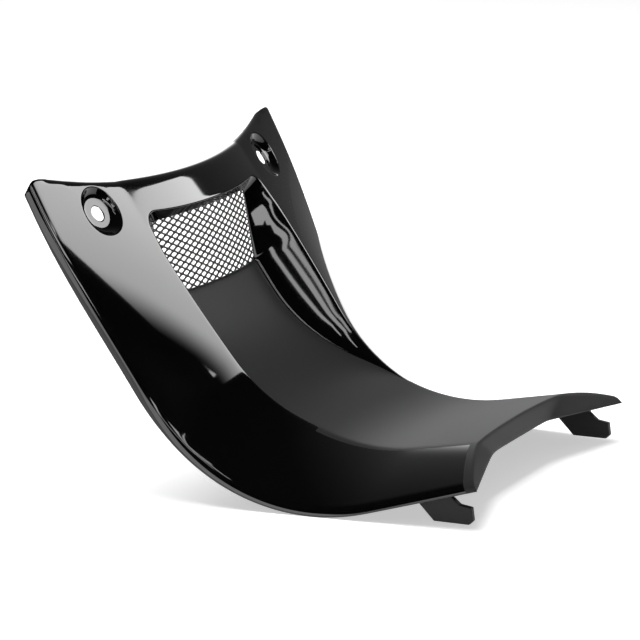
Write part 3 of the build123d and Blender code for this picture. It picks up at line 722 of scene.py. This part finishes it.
def gloss_grid(name, points, material):
    """A grid of points in metres as a surface of the stage that only the gloss shows."""
    faces = grid_quads(*points.shape[:2]).reshape(-1, 4).tolist()
    only_glossy(stage_mesh(name, points.reshape(-1, 3), faces, material))


# the cards' level grows with powers of how nearly a point lies in the pale direction
card_material, nodes, link, output = node_material("studio cards")
card_place = nodes.new("ShaderNodeTexCoord").outputs["Object"]
from_centre, unit, nearness = [nodes.new("ShaderNodeVectorMath") for _ in range(3)]
from_centre.operation, unit.operation, nearness.operation = "SUBTRACT", "NORMALIZE", "DOT_PRODUCT"
from_centre.inputs[1].default_value = STAGE_CENTRE.tolist()
nearness.inputs[1].default_value = towards(np.array(PALE_TURN), np.array(PALE_LIFT)).tolist()
link(card_place, from_centre.inputs[0])
link(from_centre.outputs["Vector"], unit.inputs[0])
link(unit.outputs["Vector"], nearness.inputs[0])
ramp = nodes.new("ShaderNodeMapRange")
ramp.inputs["From Min"].default_value = PALE_START
link(nearness.outputs["Value"], ramp.inputs["Value"])
wide_level, narrow_level = [
    maths(nodes, link, "MULTIPLY", maths(nodes, link, "POWER", ramp.outputs["Result"], power), share)
    for power, share in PALE_LEVELS]
glow = nodes.new("ShaderNodeEmission")
link(maths(nodes, link, "ADD", wide_level, narrow_level), glow.inputs["Strength"])
link(glow.outputs[0], output.inputs["Surface"])

dome_turn, dome_lift = np.meshgrid(np.linspace(-180, 180, 73), np.linspace(-4, 90, 20), indexing="ij")
dome_points = STAGE_CENTRE + DOME_RADIUS * towards(dome_turn, dome_lift)
gloss_grid("studio_cards", dome_points, card_material)
screen_turn, screen_z = np.meshgrid(np.linspace(70, 150, 17), [FLOOR_Z, 0.06, SCREEN_TOP], indexing="ij")
screen_points = STAGE_CENTRE + SCREEN_RADIUS * towards(screen_turn, 0 * screen_turn)
screen_points[..., 2] = screen_z
gloss_grid("low_cards", screen_points, card_material)
flag_corners = [(x, FLAG_Y, z) for x, z in ((FLAG_X[0], FLOOR_Z), (FLAG_X[1], FLOOR_Z),
                                            (FLAG_X[1], FLAG_TOP), (FLAG_X[0], FLAG_TOP))]
only_glossy(stage_mesh("flag", flag_corners, [(0, 1, 2, 3)], card_material))

# The soft boxes: two large upright panels that draw the broad highlights of the side walls and the
# flange. They fade in over part of their width, and they too show in the gloss alone.


def soft_box(name, turn, distance, across, up, strength, fade, rise=0.0):
    """An upright panel that faces the cover, from and to so many metres across and up from its
    nearest point, its far top corner higher by rise; it fades in over a share of its width at
    each end."""
    material, nodes, link, output = node_material(name)
    split = nodes.new("ShaderNodeSeparateXYZ")
    link(nodes.new("ShaderNodeUVMap").outputs["UV"], split.inputs[0])
    shares = []
    for start, end in ((0.0, fade[0]), (1.0, 1 - fade[1])):
        edge = nodes.new("ShaderNodeMapRange")
        edge.interpolation_type = "SMOOTHSTEP"
        edge.inputs["From Min"].default_value, edge.inputs["From Max"].default_value = start, end
        link(split.outputs["X"], edge.inputs["Value"])
        shares.append(edge.outputs["Result"])
    glow = nodes.new("ShaderNodeEmission")
    level = maths(nodes, link, "MULTIPLY", maths(nodes, link, "MULTIPLY", *shares), strength)
    link(level, glow.inputs["Strength"])
    link(glow.outputs[0], output.inputs["Surface"])
    out, side = towards(np.array(turn), np.array(0.0)), towards(np.array(turn + 90), np.array(0.0))
    corners = [(across[0], up[0]), (across[1], up[0]), (across[1], up[1] + rise), (across[0], up[1])]
    points = [STAGE_CENTRE + out * distance + side * a + np.array([0, 0, b]) for a, b in corners]
    panel = stage_mesh(name, points, [(0, 1, 2, 3)], material, [(0, 0), (1, 0), (1, 1), (0, 1)])
    only_glossy(panel)


soft_box("soft_box_right", 10, 1.3, (0.16, 2.35), (0.755, 1.10), 7.0, (0.20, 0.02), 0.28)
soft_box("soft_box_front", -70, 1.2, (-0.95, 0.80), (-0.04, 0.53), 3.0, (0.05, 0.05))

# The strip light: a bent tube seen only in the gloss, which draws the bright lines down the far
# wall of the scoop. Its strips are outlined in millimetres on a plane that faces that wall.
STRIP_AIM, STRIP_DISTANCE, STRIP_STRENGTH = np.array([0.045, 0.13, 0.075]), 0.6, 6.5
STRIPS = [[(22, 10), (40, 22), (44, 60), (30, 145), (-55, 215), (-75, 200), (5, 130), (20, 60)],
          [(22, 10), (170, -72), (240, -90), (520, -40), (520, 10), (215, -10), (40, 22)],
          [(330, -74), (520, -40), (520, -190), (240, -215), (85, -215), (90, -172), (250, -165)],
          [(-35, -12), (85, -215), (90, -172), (-16, 0)],
          [(-35, -12), (-16, 0), (-4, 30), (-8, 60), (-45, 105), (-62, 95), (-26, 50), (-26, 20)],
          [(51, 30), (62, 26), (64, 95), (45, 180), (35, 170), (53, 90)],
          [(62, 26), (216, 30), (456, 48), (651, 155), (651, 185), (456, 72), (216, 46), (62, 42)]]
strip_out = towards(np.array(-48.0), np.array(37.0))
strip_across = towards(np.array(42.0), np.array(0.0))
strip_up = np.cross(strip_across, strip_out)
strip_up = strip_up * np.sign(strip_up[2])
strip_corners = MM * np.concatenate(STRIPS)
strip_points = (STRIP_AIM + STRIP_DISTANCE * strip_out
                + strip_corners[:, :1] * strip_across + strip_corners[:, 1:] * strip_up)
strip_ends = np.cumsum([0] + [len(outline) for outline in STRIPS]).tolist()
strip_faces = [list(range(start, end)) for start, end in zip(strip_ends, strip_ends[1:])]
strip_material, nodes, link, output = node_material("strip light")
glow = nodes.new("ShaderNodeEmission")
glow.inputs["Strength"].default_value = STRIP_STRENGTH
link(glow.outputs[0], output.inputs["Surface"])
only_glossy(stage_mesh("strip_light", strip_points, strip_faces, strip_material))

# The overhead light: a soft square lamp above and behind the cover. It lights the matt faces and
# casts the shadow on the floor, and neither the camera nor the gloss shows it.
top_light = bpy.data.lights.new("overhead", "AREA")
top_light.shape, top_light.size = "SQUARE", 1.3
top_light.energy = 40
overhead = bpy.data.objects.new("overhead", top_light)
bpy.context.collection.objects.link(overhead)
overhead.location = (-0.1, 0.5, 1.7)
overhead.visible_glossy = overhead.visible_camera = False

# The camera: where the photograph was taken from, low beside the tail with a long lens. Its focal
# length is in pixels of the photograph's width.
CAMERA_AT, CAMERA_TURN, CAMERA_LIFT = (-1.496667, -0.573595, 0.414697), -65.39463, 12.0
PHOTO_WIDTH, FOCAL_LENGTH, SENSOR_WIDTH = 640, 3599.04, 36
camera_data = bpy.data.cameras.new("camera")
camera_data.sensor_width = SENSOR_WIDTH
camera_data.lens = FOCAL_LENGTH / PHOTO_WIDTH * SENSOR_WIDTH
camera_data.clip_end = 20
camera = bpy.data.objects.new("camera", camera_data)
bpy.context.collection.objects.link(camera)
camera_back = towards(np.array(CAMERA_TURN), np.array(CAMERA_LIFT))
camera_right = towards(np.array(CAMERA_TURN + 90), np.array(0.0))
camera_axes = np.eye(4)
camera_axes[:3] = np.column_stack([camera_right, np.cross(camera_back, camera_right), camera_back, CAMERA_AT])
camera.matrix_world = Matrix(camera_axes.tolist())
bpy.context.scene.camera = camera
bpy.context.scene.view_settings.view_transform = "Standard"
